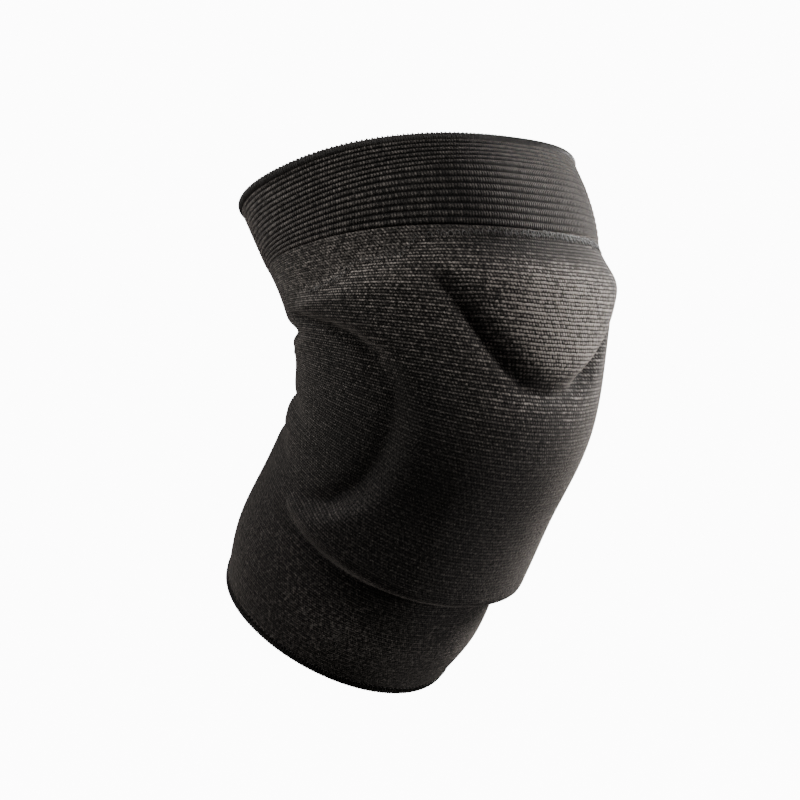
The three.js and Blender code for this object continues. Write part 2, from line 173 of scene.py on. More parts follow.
# along, and over how many PAD_THICKNESSes the foam's edge rises there in front and at the side
EDGE_ALONG = [0.26, 0.32, 0.42, 0.6, 0.68, 0.8]
EDGE_FRONT = [0.81, 1.05, 1.6, 1.6, 1.05, 2.4]
EDGE_SIDE = [1.14, 1.1, 1.9, 1.9, 1.05, 1.9]
# each crease: around, along, depth and width, the last two as shares of PAD_THICKNESS
CREASES = {
    "under the cup": [
        (54, 0.785, 0.0, 0.5), (47, 0.76, 0.14, 0.36), (41, 0.738, 0.32, 0.32),
        (34, 0.703, 0.46, 0.3), (28, 0.675, 0.52, 0.3), (21, 0.65, 0.52, 0.3),
        (14, 0.633, 0.42, 0.3), (7, 0.623, 0.28, 0.32), (0, 0.621, 0.22, 0.34),
    ],
    "top of the side notch": [
        (116, 0.69, 0.04, 0.23), (106, 0.681, 0.3, 0.23), (90, 0.671, 0.38, 0.23),
        (77, 0.653, 0.34, 0.25), (68, 0.63, 0.19, 0.3),
    ],
    "front of the side notch": [
        (64, 0.6, 0.04, 0.48), (59, 0.55, 0.08, 0.57), (60, 0.48, 0.12, 0.57),
        (65, 0.41, 0.23, 0.52), (75, 0.35, 0.25, 0.43), (86, 0.315, 0.1, 0.38),
    ],
    "behind the knee, upper": [
        (180, 0.655, 0.38, 0.48), (140, 0.655, 0.36, 0.43), (118, 0.645, 0.24, 0.33),
        (106, 0.64, 0.02, 0.28),
    ],
    "behind the knee, middle": [
        (180, 0.5, 0.29, 0.67), (140, 0.48, 0.27, 0.57), (118, 0.455, 0.17, 0.48),
        (100, 0.44, 0.02, 0.48),
    ],
    "behind the knee, lower": [
        (180, 0.39, 0.15, 0.57), (145, 0.375, 0.15, 0.57), (122, 0.35, 0.1, 0.48),
        (105, 0.34, 0.02, 0.38),
    ],
    "under the pad": [
        (0, 0.262, 0.11, 0.34), (40, 0.247, 0.13, 0.34), (76, 0.242, 0.1, 0.34),
        (96, 0.25, 0.02, 0.34),
    ],
}


def ease(x):
    t = np.clip(x, 0, 1)
    return t * t * (3 - 2 * t)


def flat(around, along):
    """The surface laid flat: metres round and metres along."""
    return np.radians(around) * KNEE_RADIUS, along * SLEEVE_LENGTH


def closed_outline(half):
    """A half outline and its mirror image, as a smooth closed ring of points."""
    x, y = flat(*np.array(half, float).T)
    ring = np.stack([np.r_[x, -x[::-1]], np.r_[y, y[::-1]]], -1)
    steps = np.arange(5)[None, :, None] / 5
    p0, p1, p2, p3 = (np.roll(ring, k, 0)[:, None] for k in (1, 0, -1, -2))
    curve = 0.5 * (
        2 * p1 + (p2 - p0) * steps + (2 * p0 - 5 * p1 + 4 * p2 - p3) * steps**2
        + (3 * p1 - p0 - 3 * p2 + p3) * steps**3
    )
    return curve.reshape(-1, 2)


def to_segment(x, y, a, b):
    """Distance from each point to a segment, and how far along it the nearest place is."""
    dx, dy = b[0] - a[0], b[1] - a[1]
    t = np.clip(((x - a[0]) * dx + (y - a[1]) * dy) / (dx * dx + dy * dy + 1e-15), 0, 1)
    return np.hypot(x - a[0] - t * dx, y - a[1] - t * dy), t


def inside_by(ring, x, y):
    """Distance to a closed ring, positive inside it."""
    nearest, inside = np.full(x.shape, np.inf), np.zeros(x.shape, bool)
    for a, b in zip(ring, np.roll(ring, -1, 0)):
        nearest = np.minimum(nearest, to_segment(x, y, a, b)[0])
        if a[1] != b[1]:
            crossing = (b[0] - a[0]) * (y - a[1]) / (b[1] - a[1]) + a[0]
            inside ^= ((a[1] > y) != (b[1] > y)) & (x < crossing)
    return np.where(inside, nearest, -nearest)


PAD_RING, CUP_RING = closed_outline(PAD_OUTLINE), closed_outline(CUP_OUTLINE)


def crease_depth(line, x, y):
    deepest = np.zeros(x.shape)
    points = [(flat(around, along), depth, width) for around, along, depth, width in line]
    for (a, depth_a, width_a), (b, depth_b, width_b) in zip(points, points[1:]):
        distance, t = to_segment(x, y, a, b)
        depth = PAD_THICKNESS * (depth_a + (depth_b - depth_a) * t)
        width = PAD_THICKNESS * (width_a + (width_b - width_a) * t)
        deepest = np.maximum(deepest, depth * np.exp(-((distance / width) ** 2)))
    return deepest


def relief(around, along):
    """How far foam, cup and creases move the knit out from the plain tube."""
    side = np.abs(around)
    x, y = flat(side, along)
    front, beside = (np.interp(along, EDGE_ALONG, e) for e in (EDGE_FRONT, EDGE_SIDE))
    edge = PAD_THICKNESS * (front + (beside - front) * ease(side / 90))
    in_edge = ease((inside_by(PAD_RING, x, y) + EDGE_SPREAD) / edge)
    height = PAD_THICKNESS * np.interp(side, *THICKNESS_ROUND)
    height = height * (1 - (1 - in_edge**0.75) ** 1.6)
    in_cup = np.clip(inside_by(CUP_RING, x, y) / CUP_SHOULDER, 0, 1)
    cup_share = ease((CUP_FADE[1] - along) / (CUP_FADE[1] - CUP_FADE[0]))
    height = height + CUP_RISE * np.sqrt(1 - (1 - in_cup) ** 2) * cup_share
    return height - sum(crease_depth(line, x, y) for line in CREASES.values())


def wrapped(around):
    """The same place round the tube, from -180 to 180 degrees."""
    return (np.asarray(around, float) + 180) % 360 - 180


def outer_radius(around, along):
    around, along = np.broadcast_arrays(wrapped(around), np.asarray(along, float))
    return tube_radius(around, along) + relief(around, along)


crest = outer_radius(np.array([0.0, 0.0, 60.0]), np.array([0.74, 0.636, 0.48]))
print("radius on the cup, in the crease under it, beside the notch:", crest.round(4))

# %% [markdown]
# ## Helpers for cloth and for laying things on it
#
# A band of cloth that closes on itself is a grid whose last column joins the first. Its outer face
# carries the detail, so it gets many rows, while the inner face needs few. Both share their
# columns, and the rims join row to row, which gives one closed wall of real thickness.
# The cloth's own UV map counts stitches: one unit is one wale round the tube or one course along it,
# so the knit pattern stretches where the cloth does.

# %% Bands of cloth
WALES = 312  # columns of knit loops round the tube
COURSES = 102  # rows of knit loops from rim to rim


def slant(around, along, da=1.5, dv=0.008, most=1.9):
    """How much longer a step along the radius is than the wall it crosses."""
    across = outer_radius(around + da, along) - outer_radius(around - da, along)
    up = outer_radius(around, along + dv) - outer_radius(around, along - dv)
    wide = 2 * math.radians(da) * outer_radius(around, along)
    high = 2 * dv * SLEEVE_LENGTH
    return np.minimum(most, np.sqrt(1 + (across / wide) ** 2 + (up / high) ** 2))


def new_piece(name, points, faces):
    mesh = bpy.data.meshes.new(name)
    mesh.from_pydata(np.asarray(points).reshape(-1, 3).tolist(), [], faces)
    mesh.polygons.foreach_set("use_smooth", [True] * len(mesh.polygons))
    piece = bpy.data.objects.new(name, mesh)
    bpy.context.scene.collection.objects.link(piece)
    return piece


cloth_places = {}  # around and along of every point of each band


def cloth_band(name, columns, outer_rows, inner_rows, outer, inner):
    """A closed wall round the tube. outer and inner give radii from (around, along)."""
    around = -180 + 360 * np.arange(columns) / columns
    rows = np.r_[outer_rows, inner_rows[::-1]]
    a, v = np.meshgrid(around, rows)
    is_outer = np.arange(len(rows)) < len(outer_rows)
    radius = np.where(is_outer[:, None], outer(a, v), inner(a, v))
    points = place(a, v, radius)
    n = len(rows)
    r, c = np.meshgrid(np.arange(n), np.arange(columns), indexing="ij")
    d, e = (c + 1) % columns, (r + 1) % n
    faces = np.stack([r * columns + c, r * columns + d, e * columns + d, e * columns + c], -1)
    piece = new_piece(name, points, faces.reshape(-1, 4).tolist())
    cloth_places[name] = a.reshape(-1), v.reshape(-1)
    u = np.stack([c, c + 1, c + 1, c], -1) * WALES / columns
    w = np.stack([rows[r], rows[r], rows[e], rows[e]], -1) * COURSES
    uv = piece.data.uv_layers.new(name="stitches")
    uv.data.foreach_set("uv", np.stack([u, w], -1).reshape(-1).astype(np.float32))
    print(name, len(piece.data.polygons) * 2, "triangles")
    return piece


wale_width, course_height = 2 * math.pi * KNEE_RADIUS / WALES, SLEEVE_LENGTH / COURSES
print("one loop at the knee:", round(wale_width, 5), "wide and", round(course_height, 5), "high")

# %% [markdown]
# ## The knit sleeve
#
# One seamless knit tube runs from the shin hem to the cuff, stretched over the foam.
# A cloth simulation would let the elastic pull out of its creases, so the tube is laid straight
# onto the form. Slight puckers are added where the photograph's knit is squeezed: along
# the front edge of the side notch and at the back, where the courses bunch up.

# %% The sleeve, its puckers and its wall
# each pucker: around, along, how far it reaches round and along, and its height
PUCKERS = [
    (63, 0.575, 3.0, 0.010, 0.0009), (58, 0.545, 3.5, 0.008, 0.0007),
    (95, 0.655, 9.0, 0.0045, 0.0007), (104, 0.634, 10.0, 0.005, 0.0008),
    (112, 0.612, 10.0, 0.0055, 0.0007), (120, 0.59, 9.0, 0.006, 0.0006),
    (108, 0.42, 9.0, 0.007, 0.0006), (118, 0.395, 9.0, 0.007, 0.0006),
]


def puckers(around, along):
    side = np.abs(around)
    height = np.zeros(side.shape)
    for at, up, wide, tall, rise in PUCKERS:
        height += rise * np.exp(-(((side - at) / wide) ** 2) - ((along - up) / tall) ** 2)
    return height


def knit_face(around, along):
    return outer_radius(around, along) + puckers(wrapped(around), along)


sleeve_low = (SHIN_HEM_HEIGHT - HEM_LAP) / SLEEVE_LENGTH
knit_sleeve = cloth_band(
    "knit_sleeve", 360,
    np.linspace(sleeve_low, CUFF_START, 172), np.linspace(sleeve_low, CUFF_START, 44),
    knit_face, lambda a, v: outer_radius(a, v) - KNIT_WALL * slant(a, v),
)

# %% [markdown]
# ## Where the knit is stretched, where light and shade are painted on it, and where it is plain
#
# Stretched knit opens and shows more of its grey core yarn. Light and shade are painted into the
# knit's colour as well: brighter where it should catch more light, such as the front of the cup, and
# darker where it should get less, with painted shade deepest at the bottom of each crease. Above the
# foam pocket the knit is plain, with no raised courses. The painted shade follows the creases' depth
# and the plain knit starts at the seam. Each is written on the cloth's points as an attribute, which
# its finish then reads.

# %% Attributes on the cloth
SEAM = [(0, 0.828), (18, 0.826), (50, 0.818), (56, 0.79), (72, 0.785), (80, 0.757), (97, 0.735)]
SEAM_BLEND = 0.012  # how much of the length the change to plain knit takes
# along, and how much of its yarn the knit shows there, from its stretch and as painted light and
# shade
STRETCH_AND_PAINTED_LIGHT_ALONG = ([0, 0.15, 0.25, 0.4, 0.6, 0.72, 0.8], [1.7, 1.6, 0.85, 0.85, 1.1, 1.5, 1.6])
# degrees round, and how many times as much again shows on the cup there, from its stretch and as a
# painted highlight
CUP_STRETCH_AND_HIGHLIGHT = ([0, 10, 22, 32, 45], [4.6, 3.6, 1.3, 0.5, 0.4])
CUP_STRETCH_AND_HIGHLIGHT_FADE = 0.08  # how much of the length this takes to fade out at the top of the cup
# around, along, reach round, reach along, and how many times as much yarn shows there: painted light
# where above 1, painted shade where below 1
PAINTED_LIGHT_AND_SHADE_SPOTS = [
    (88, 0.78, 36, 0.06, 2.1), (8, 0.81, 28, 0.03, 0.22), (48, 0.58, 11, 0.08, 0.6),
    (42, 0.46, 16, 0.07, 0.6), (80, 0.45, 18, 0.09, 0.75), (12, 0.6, 14, 0.02, 2.0),
    (92, 0.12, 20, 0.09, 0.65), (40, 0.11, 24, 0.07, 2.6), (26, 0.67, 12, 0.03, 1.4),
]


def mark_cloth(piece):
    around, along = cloth_places[piece.name]
    side = np.abs(around)
    x, y = flat(side, along)
    on_cup = ease(inside_by(CUP_RING, x, y) / PAD_THICKNESS)
    below_seam = ease((CUP_FADE[1] - along) / CUP_STRETCH_AND_HIGHLIGHT_FADE)
    # painted shade: the deeper the creases under a point, the darker its knit is painted
    crease_shade = sum(crease_depth(line, x, y) for line in CREASES.values()) / PAD_THICKNESS
    # the knit's stretch, with painted light and shade laid on it along the sleeve, on the cup's front
    # and in spots
    stretch_and_painted_light = np.interp(along, *STRETCH_AND_PAINTED_LIGHT_ALONG)
    stretch_and_painted_light = stretch_and_painted_light * (1 + np.interp(side, *CUP_STRETCH_AND_HIGHLIGHT) * on_cup * below_seam)
    for at, up, wide, tall, times in PAINTED_LIGHT_AND_SHADE_SPOTS:
        near = np.exp(-(((side - at) / wide) ** 2) - ((along - up) / tall) ** 2)
        stretch_and_painted_light = stretch_and_painted_light * times**near
    marks = {
        "stretch_and_painted_light": stretch_and_painted_light,
        "crease_shade": crease_shade,
        "plain": ease((along - np.interp(side, *np.array(SEAM).T)) / SEAM_BLEND + 0.5),
    }
    for name, values in marks.items():
        attribute = piece.data.attributes.new(name, "FLOAT", "POINT")
        attribute.data.foreach_set("value", values.astype(np.float32))
        print(name, "from", values.min().round(2), "to", values.max().round(2))


mark_cloth(knit_sleeve)

# %% [markdown]
# ## The ribbed cuff
#
# The cuff is knitted with an elastic thread that draws each second course in, which makes fifteen
# ribs round the thigh. They catch the light one by one, so they are real ridges in the mesh.

# %% The cuff with its ribs
RIBS = 15
RIB_HEIGHT = 0.00042
cuff_low = CUFF_START + PIECE_GAP / SLEEVE_LENGTH
cuff_high = 1 - (HEM_HEIGHT - HEM_LAP) / SLEEVE_LENGTH


def cuff_face(around, along):
    rib = (along - cuff_low) / (cuff_high - cuff_low) * RIBS
    return outer_radius(around, along) + RIB_HEIGHT * (np.abs(np.sin(np.pi * rib)) ** 0.8 - 0.6)


rib_cuff = cloth_band(
    "rib_cuff", 360,
    np.linspace(cuff_low, cuff_high, RIBS * 6 + 1), np.linspace(cuff_low, cuff_high, 12),
    cuff_face, lambda a, v: outer_radius(a, v) - CUFF_WALL,
)

# %% [markdown]
# ## Overlocked hems
#
# Both rims are overlocked: a rolled core of cloth, wrapped by loops of thread. The core starts as
# a torus primitive. Its two angles become "around" and a place on the hem's small section, so it
# lies exactly on the rim. One loop of thread is modelled once, and copies of it are laid on the rim.

# %% Small tools for primitives, and the hem's core
HEM_THICKNESS, HEM_OUT = 1.45, 0.25  # how thick it is and how far it stands out, in wall thicknesses


def deselect_all():
    for thing in bpy.context.selected_objects:
        thing.select_set(False)


def torus_on_rim(name, low, high, wall, major=360, minor=12, slim=0.25):
    """A rolled edge between two places along, a little thicker than the wall it binds."""
    deselect_all()
    bpy.ops.mesh.primitive_torus_add(
        major_segments=major, minor_segments=minor, major_radius=1, minor_radius=slim
    )
    core = bpy.context.object
    core.name = core.data.name = name
    at = np.empty(len(core.data.vertices) * 3)
    core.data.vertices.foreach_get("co", at)
    x, y, z = at.reshape(-1, 3).T
    out, up = (np.hypot(x, y) - 1) / slim, z / slim
    around = np.degrees(np.arctan2(x, -y))
    middle, thick = (low + high) / 2, HEM_THICKNESS * wall
    along = middle + (high - low) / 2 * up
    radius = outer_radius(around, along) + HEM_OUT * wall - thick / 2 * (1 - out)
    core.data.vertices.foreach_set("co", place(around, along, radius).reshape(-1))
    core.data.polygons.foreach_set("use_smooth", [True] * len(core.data.polygons))
    uv = core.data.uv_layers[0]
    uv.name = "stitches"
    corner = np.empty(len(core.data.loops) * 2)
    uv.data.foreach_get("uv", corner)
    corner = corner.reshape(-1, 2) * [WALES, 6]
    uv.data.foreach_set("uv", corner.reshape(-1))
    core.data.update()
    print(name, len(core.data.polygons) * 2, "triangles")
    return core


thigh_hem = torus_on_rim("thigh_hem", 1 - HEM_HEIGHT / SLEEVE_LENGTH, 1, CUFF_WALL)
shin_hem = torus_on_rim("shin_hem", 0, SHIN_HEM_HEIGHT / SLEEVE_LENGTH, KNIT_WALL)

# %% [markdown]
# ## Thread
#
# Two stitches are enough for this sleeve: a ring that wraps a rolled hem, and a loop like a staple
# that lies on the cloth. Each is modelled once, lying flat: X runs along the seam, Y across it and
# Z out of the cloth. Its copies are then laid on the form, each at its own place, by reading X, Y
# and Z as around, along and distance from the surface. So every copy bends with the rim, which an
# array of rigid copies would not do.

# %% The two stitches
# half the thickness of each thread
CUFF_THREAD, SHIN_THREAD, LOOP_THREAD, SEAM_THREAD = 0.00034, 0.00026, 0.00024, 0.00021
STAPLE_LEGS = 0.0013


def torus(name, radius, thread, major, minor):
    deselect_all()
    bpy.ops.mesh.primitive_torus_add(
        major_segments=major, minor_segments=minor, major_radius=radius, minor_radius=thread
    )
    ring = bpy.context.object
    ring.name = name
    return ring


def wrapping_ring(name, high, thick, thread):
    """A ring of thread round a hem's section, standing across the seam."""
    ring = torus(name, 1, thread / (high / 2), 14, 5)
    ring.rotation_euler = (0, math.pi / 2, 0)
    bpy.ops.object.transform_apply(location=False, rotation=True, scale=False)
    ring.scale = (high / 2, high / 2, thick / 2)
    bpy.ops.object.transform_apply(location=False, rotation=False, scale=True)
    return ring


def staple_loop(name, bend, thread, legs):
    """Half a torus, cut across and closed, with its two ends drawn out as legs."""
    loop = torus(name, bend, thread, 16, 6)
    bpy.ops.object.mode_set(mode="EDIT")
    bpy.ops.mesh.select_all(action="SELECT")
    bpy.ops.mesh.bisect(
        plane_co=(0, 0, 0), plane_no=(0, 1, 0), use_fill=True, clear_inner=True
    )
    bpy.ops.mesh.select_mode(type="FACE")
    bpy.ops.mesh.select_all(action="DESELECT")
    bpy.ops.object.mode_set(mode="OBJECT")
    for face in loop.data.polygons:
        face.select = face.normal.y < -0.9 and face.center.y < thread / 4
    bpy.ops.object.mode_set(mode="EDIT")
    bpy.ops.mesh.extrude_region_move(TRANSFORM_OT_translate={"value": (0, -legs, 0)})
    bpy.ops.mesh.select_all(action="SELECT")
    bpy.ops.mesh.quads_convert_to_tris()
    bpy.ops.object.mode_set(mode="OBJECT")
    return loop


def lay_copies(name, stitch, spots, surface):
    """One mesh of copies of a stitch. Each spot: around, along, lift, turn, size."""
    mesh = stitch.data
    shape = np.empty(len(mesh.vertices) * 3)
    mesh.vertices.foreach_get("co", shape)
    shape = shape.reshape(1, -1, 3)
    around, along, lift, turn, size = (column[:, None] for column in np.asarray(spots, float).T)
    x, y, z = (shape[..., k] * size for k in range(3))
    x, y = x * np.cos(turn) - y * np.sin(turn), x * np.sin(turn) + y * np.cos(turn)
    v = along + y / SLEEVE_LENGTH
    a = around + np.degrees(x / outer_radius(around, along))
    points = place(a, v, surface(a, v) + lift + z)
    faces = [tuple(face.vertices) for face in mesh.polygons]
    step = shape.shape[1]
    every = [tuple(i + step * k for i in face) for k in range(len(points)) for face in faces]
    piece = new_piece(name, points, every)
    bpy.data.objects.remove(stitch)
    print(name, len(points), "copies,", sum(len(f) - 2 for f in every), "triangles")
    return piece


print("thread:", CUFF_THREAD, "at the cuff,", SHIN_THREAD, "and", LOOP_THREAD, "at the shin")

# %% Thread round the thigh hem
THIGH_RIM_RADIUS, SHIN_RIM_RADIUS = 0.0705, 0.0505  # on average, to space the stitches by
draw = np.random.default_rng(7)


def evenly_round(pitch, radius):
    """Places round the tube a pitch apart, each a little off, as a machine sews stretch cloth."""
    count = int(round(2 * math.pi * radius / pitch))
    return -180 + 360 * (np.arange(count) + draw.uniform(-0.12, 0.12, count)) / count


def spots(around, along, lift=0.0, turn=0.0, size=1.0):
    columns = [np.broadcast_to(np.asarray(c, float), around.shape) for c in (along, lift, turn, size)]
    return np.stack([around, *columns], -1)


def middle_of_hem(wall):
    """How far the middle of a hem's section lies out from the cloth's face."""
    return HEM_OUT * wall - HEM_THICKNESS * wall / 2


wraps = evenly_round(0.00105, THIGH_RIM_RADIUS)
high_wraps = np.arange(len(wraps)) % 2  # every second wrap sits higher, which gives tiny teeth
thigh_hem_thread = lay_copies(
    "thigh_hem_thread",
    wrapping_ring("wrap", HEM_HEIGHT, HEM_THICKNESS * CUFF_WALL, CUFF_THREAD),
    spots(
        wraps, 1 - HEM_HEIGHT / SLEEVE_LENGTH / 2 + high_wraps * 0.0012,
        middle_of_hem(CUFF_WALL), draw.normal(0, 0.05, len(wraps)), 0.97 + 0.06 * high_wraps,
    ),
    outer_radius,
)

# %% Thread round the shin hem: wrapping rings, and loops that lie on the knit above them
shin_wraps = evenly_round(0.00125, SHIN_RIM_RADIUS)
shin_hem_thread = lay_copies(
    "shin_hem_thread",
    wrapping_ring("wrap", SHIN_HEM_HEIGHT, HEM_THICKNESS * KNIT_WALL, SHIN_THREAD),
    spots(
        shin_wraps, SHIN_HEM_HEIGHT / SLEEVE_LENGTH / 2,
        middle_of_hem(KNIT_WALL), draw.normal(0.12, 0.04, len(shin_wraps)),
    ),
    outer_radius,
)
loops = evenly_round(0.002, SHIN_RIM_RADIUS)
shin_hem_loops = lay_copies(
    "shin_hem_loops",
    staple_loop("loop", 0.00062, LOOP_THREAD, STAPLE_LEGS),
    spots(
        loops, (SHIN_HEM_HEIGHT + 0.0002) / SLEEVE_LENGTH, 0.00038,
        draw.normal(0.08, 0.07, len(loops)), draw.uniform(0.92, 1.1, len(loops)),
    ),
    outer_radius,
)

# %% [markdown]
# ## The seam over the foam pocket
#
# A line of looped stitches holds the foam in its pocket. It runs level across the front, just under
# the cuff, and then drops down both sides with the foam's edge.

# %% The seam's loops
SEAM_PITCH = 0.0029


def along_line(line, pitch):
    """Points a pitch apart on a line drawn on the cloth, with the line's direction at each."""
    around, along = np.array(line, float).T
    x, y = np.radians(around) * outer_radius(around, along), along * SLEEVE_LENGTH
    run = np.r_[0, np.cumsum(np.hypot(np.diff(x), np.diff(y)))]
    at = np.arange(pitch / 2, run[-1], pitch)
    turn = np.arctan2(
        np.interp(at + pitch, run, y) - np.interp(at - pitch, run, y),
        np.interp(at + pitch, run, x) - np.interp(at - pitch, run, x),
    )
    return np.interp(at, run, around), np.interp(at, run, along), turn


seam_around, seam_along, seam_turn = along_line(SEAM, SEAM_PITCH)
seam_spots = []
for sign in (1, -1):
    count = len(seam_around)
    seam_spots.append(spots(
        sign * seam_around, seam_along + draw.uniform(-0.0015, 0.0015, count), 0.0001,
        sign * seam_turn + draw.normal(0, 0.12, count), draw.uniform(0.85, 1.12, count),
    ))
pocket_seam = lay_copies(
    "pocket_seam", staple_loop("seam loop", 0.00095, SEAM_THREAD, STAPLE_LEGS),
    np.concatenate(seam_spots), knit_face,
)

# %% [markdown]
# ## The foam
#
# Under the knit lies one moulded pad of closed-cell foam. It is a slab between two faces: the outer
# one a little below the knit, the inner one level with the bare tube's. Only its inner face and
# edges can be seen, from the open ends, so it follows the form plainly.

# %% The foam pad
FOAM_ROWS = np.array([
    0.262, 0.27, 0.285, 0.31, 0.345, 0.38, 0.42, 0.46, 0.5, 0.54, 0.58, 0.61, 0.632, 0.648, 0.664,
    0.68, 0.7, 0.72, 0.74, 0.76, 0.785, 0.812,
])
FOAM_SLACK = 0.0004  # how loosely the knit lies over the foam
THINNEST_FOAM = 0.001
FOAM_INSET = 0.48 * PAD_THICKNESS  # how far the slab stays inside the outline that the knit shows
FOAM_COLUMNS = 49
NEAR_AROUND, NEAR_ALONG = 4.5, 0.011  # the foam stays below the knit this far on every side too


def foam_outer(around, along):
    """Below the knit's inner face all round each point, as foam is stiffer than knit."""
    nearby = [
        outer_radius(around + da, along + dv)
        - (KNIT_WALL + PIECE_GAP) * slant(around + da, along + dv)
        for da in (-NEAR_AROUND, 0, NEAR_AROUND) for dv in (-NEAR_ALONG, 0, NEAR_ALONG)
    ]
    return np.minimum.reduce(nearby) - FOAM_SLACK


def foam_slab():
    reach, share = np.array(PAD_OUTLINE, float).T
    inset = math.degrees(FOAM_INSET / KNEE_RADIUS)
    rows = np.unique(np.r_[FOAM_ROWS, (FOAM_ROWS[1:] + FOAM_ROWS[:-1]) / 2])
    across = np.linspace(-1, 1, FOAM_COLUMNS)
    a = (np.interp(rows, share, reach) - inset)[:, None] * across
    v = np.broadcast_to(rows[:, None], a.shape)
    top = foam_outer(a, v)
    bottom = np.minimum(tube_radius(a, v) - KNIT_WALL, top - THINNEST_FOAM)
    points = np.concatenate([place(a, v, top).reshape(-1, 3), place(a, v, bottom).reshape(-1, 3)])
    n, wide, half = len(rows), len(across), a.size
    grid = np.arange(half).reshape(n, wide)
    faces = []
    for i in range(n - 1):
        for j in range(wide - 1):
            p, q, s, t = grid[i, j], grid[i, j + 1], grid[i + 1, j + 1], grid[i + 1, j]
            faces += [(p, q, s, t), (p + half, t + half, s + half, q + half)]
    rim = [*grid[0], *grid[1:, -1], *grid[-1, -2::-1], *grid[-2:0:-1, 0]]
    faces += [(q, p, p + half, q + half) for p, q in zip(rim, rim[1:] + rim[:1])]
    return new_piece("foam_insert", points, [tuple(int(i) for i in f) for f in faces])


foam_insert = foam_slab()
print("foam_insert", len(foam_insert.data.polygons) * 2, "triangles")

# %% [markdown]
# ## Finishes as expressions
#
# A knit is a pattern of rows and loops, which is arithmetic on two numbers. Wiring Math nodes by
# hand hides that, so one small class wraps a number that flows through a material, and Python's own
# operators add the nodes. Every other node comes from one method.

# %% Signals and finishes
class Signal:
    """A value that flows through a material: sums and products of signals add Math nodes."""

    def __init__(self, finish, socket):
        self.finish, self.socket = finish, socket

    def maths(self, operation, *others):
        return self.finish.node("ShaderNodeMath", {"operation": operation}, [self, *others])

    def reversed_maths(self, operation, other):
        return self.finish.node("ShaderNodeMath", {"operation": operation}, [other, self])

    def __add__(self, other):
        return self.maths("ADD", other)

    def __sub__(self, other):
        return self.maths("SUBTRACT", other)

    def __mul__(self, other):
        return self.maths("MULTIPLY", other)

    def __truediv__(self, other):
        return self.maths("DIVIDE", other)

    def __pow__(self, other):
        return self.maths("POWER", other)

    def __rsub__(self, other):
        return self.reversed_maths("SUBTRACT", other)

    __radd__, __rmul__ = __add__, __mul__

    def whole(self):
        return self.maths("FLOOR")

    def part(self):
        return self.maths("FRACT")

    def wave(self):
        """Half a sine over each unit: 0 at its ends and 1 in its middle."""
        return (self.part() * math.pi).maths("SINE")

    def size(self):
        return self.maths("ABSOLUTE")

    def ramp(self, start, end):
        """A smooth step from 0 at start to 1 at end."""
        return self.finish.node(
            "ShaderNodeMapRange", {"interpolation_type": "SMOOTHSTEP"},
            {"Value": self, "From Min": start, "From Max": end},
        )


class Finish:
    """A material with its Principled shader."""

    def __init__(self, name, **constants):
        self.material = bpy.data.materials.new(name)
        self.material.use_nodes = True
        self.tree = self.material.node_tree
        self.shader = self.tree.nodes["Principled BSDF"]
        for socket, value in constants.items():
            self.shader.inputs[socket.replace("_", " ")].default_value = value

    def join(self, value, socket):
        if isinstance(value, Signal):
            self.tree.links.new(value.socket, socket)
        elif value is not None:
            socket.default_value = value

    def node(self, kind, settings=(), values=(), out=0):
        made = self.tree.nodes.new(kind)
        for name, setting in dict(settings).items():
            setattr(made, name, setting)
        for key, value in values.items() if isinstance(values, dict) else enumerate(values):
            self.join(value, made.inputs[key])
        return Signal(self, made.outputs[out])

    def feed(self, **sockets):
        for name, value in sockets.items():
            self.join(value, self.shader.inputs[name.replace("_", " ")])

    def place(self):
        return self.node("ShaderNodeTexCoord", out="Object")

    def stitches(self):
        """Wale and course at a point of the cloth, from its own UV map."""
        uv = self.node("ShaderNodeUVMap", {"uv_map": "stitches"})
        return [self.node("ShaderNodeSeparateXYZ", (), [uv], out) for out in (0, 1)]

    def attribute(self, name):
        """A value that was written on the cloth's points."""
        return self.node("ShaderNodeAttribute", {"attribute_name": name}, out=2)

    def noise(self, vector, scale, detail=2.0, rough=0.5):
        values = {"Vector": vector, "Scale": scale, "Detail": detail, "Roughness": rough}
        return self.node("ShaderNodeTexNoise", (), values)

    def pair(self, x, y):
        return self.node("ShaderNodeCombineXYZ", (), [x, y, 0.0])

    def chance(self, vector):
        """A random value for each cell of a vector of whole numbers."""
        return self.node("ShaderNodeTexWhiteNoise", {"noise_dimensions": "2D"}, {"Vector": vector})

    def mix(self, share, one, other):
        """A colour between two colours."""
        return self.node(
            "ShaderNodeMix", {"data_type": "RGBA"}, {0: share, 6: one, 7: other}, 2
        )

    def bump(self, height, distance, strength=1.0):
        values = {"Height": height, "Distance": distance, "Strength": strength}
        return self.node("ShaderNodeBump", (), values)

    def dress(self, *pieces):
        for piece in pieces:
            piece.data.materials.clear()
            piece.data.materials.append(self.material)


print("finishes are ready to be written")

# %% [markdown]
# ## Knit
#
# Each course of this knit is two rows of loops: one of bright yarn that is nearly a line, and a
# dimmer one of separate dots that stand half a loop beside it. Every loop has its own chance
# brightness, because stretched knit is never even. On the lower pad the knit has been rubbed to a
# soft fuzz that hides the courses, so there the rows give way to specks.
#
# The marks made on the cloth steer it: one says how much of the yarn shows, from stretch and as
# painted light and shade, one paints shade at the bottom of each crease, and "plain" changes the
# pattern above the pocket.

# %% The sleeve's knit
WARM_GREY = (1.0, 0.88, 0.79)


def shade(level):
    return (*(level * tone for tone in WARM_GREY), 1.0)


GAP, YARN = shade(0.0012), shade(0.36)
YARN_LEVEL = 0.38  # how much of the yarn's colour a knit of middle stretch shows

